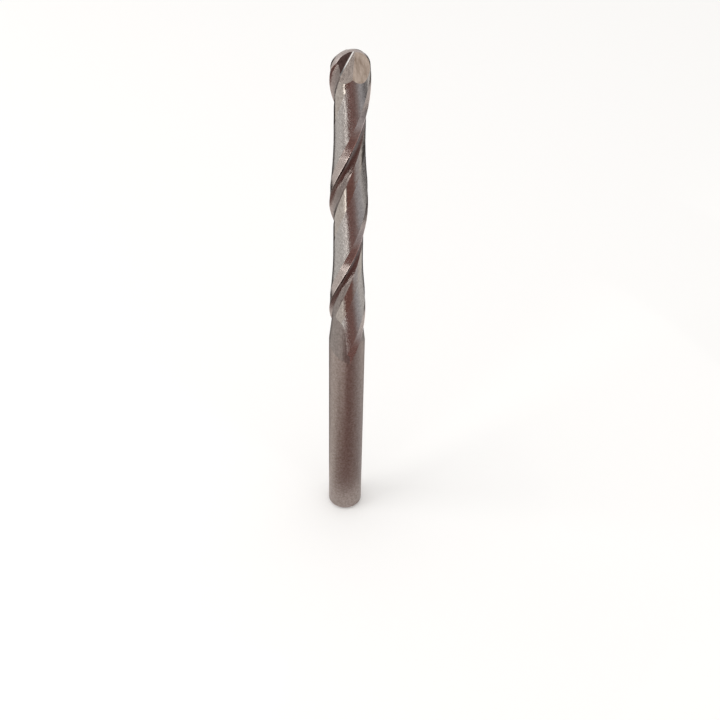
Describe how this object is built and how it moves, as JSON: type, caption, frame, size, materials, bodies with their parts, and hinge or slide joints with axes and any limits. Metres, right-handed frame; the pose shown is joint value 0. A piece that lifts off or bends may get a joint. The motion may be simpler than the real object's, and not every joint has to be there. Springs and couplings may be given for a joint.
{
  "type": "spiral milling cutter",
  "caption": "Slim ball-nose router bit of solid carbide with right-hand spiral flutes that run out into a plain cylindrical shank.",
  "frame": {"origin": "centre of the flat end of the shank", "axes": "+Z along the axis from the shank end to the ball tip; at the ball centre's height one cutting edge lies 18 degrees from +X towards +Y and the other lies opposite"},
  "size_m": [0.0032, 0.0032, 0.05],
  "materials": {
    "carbide": "ground tungsten carbide, fine grinding lines, satin"
  },
  "bodies": {
    "root": {"milling_cutter": "carbide"}
  },
  "joints": []
}
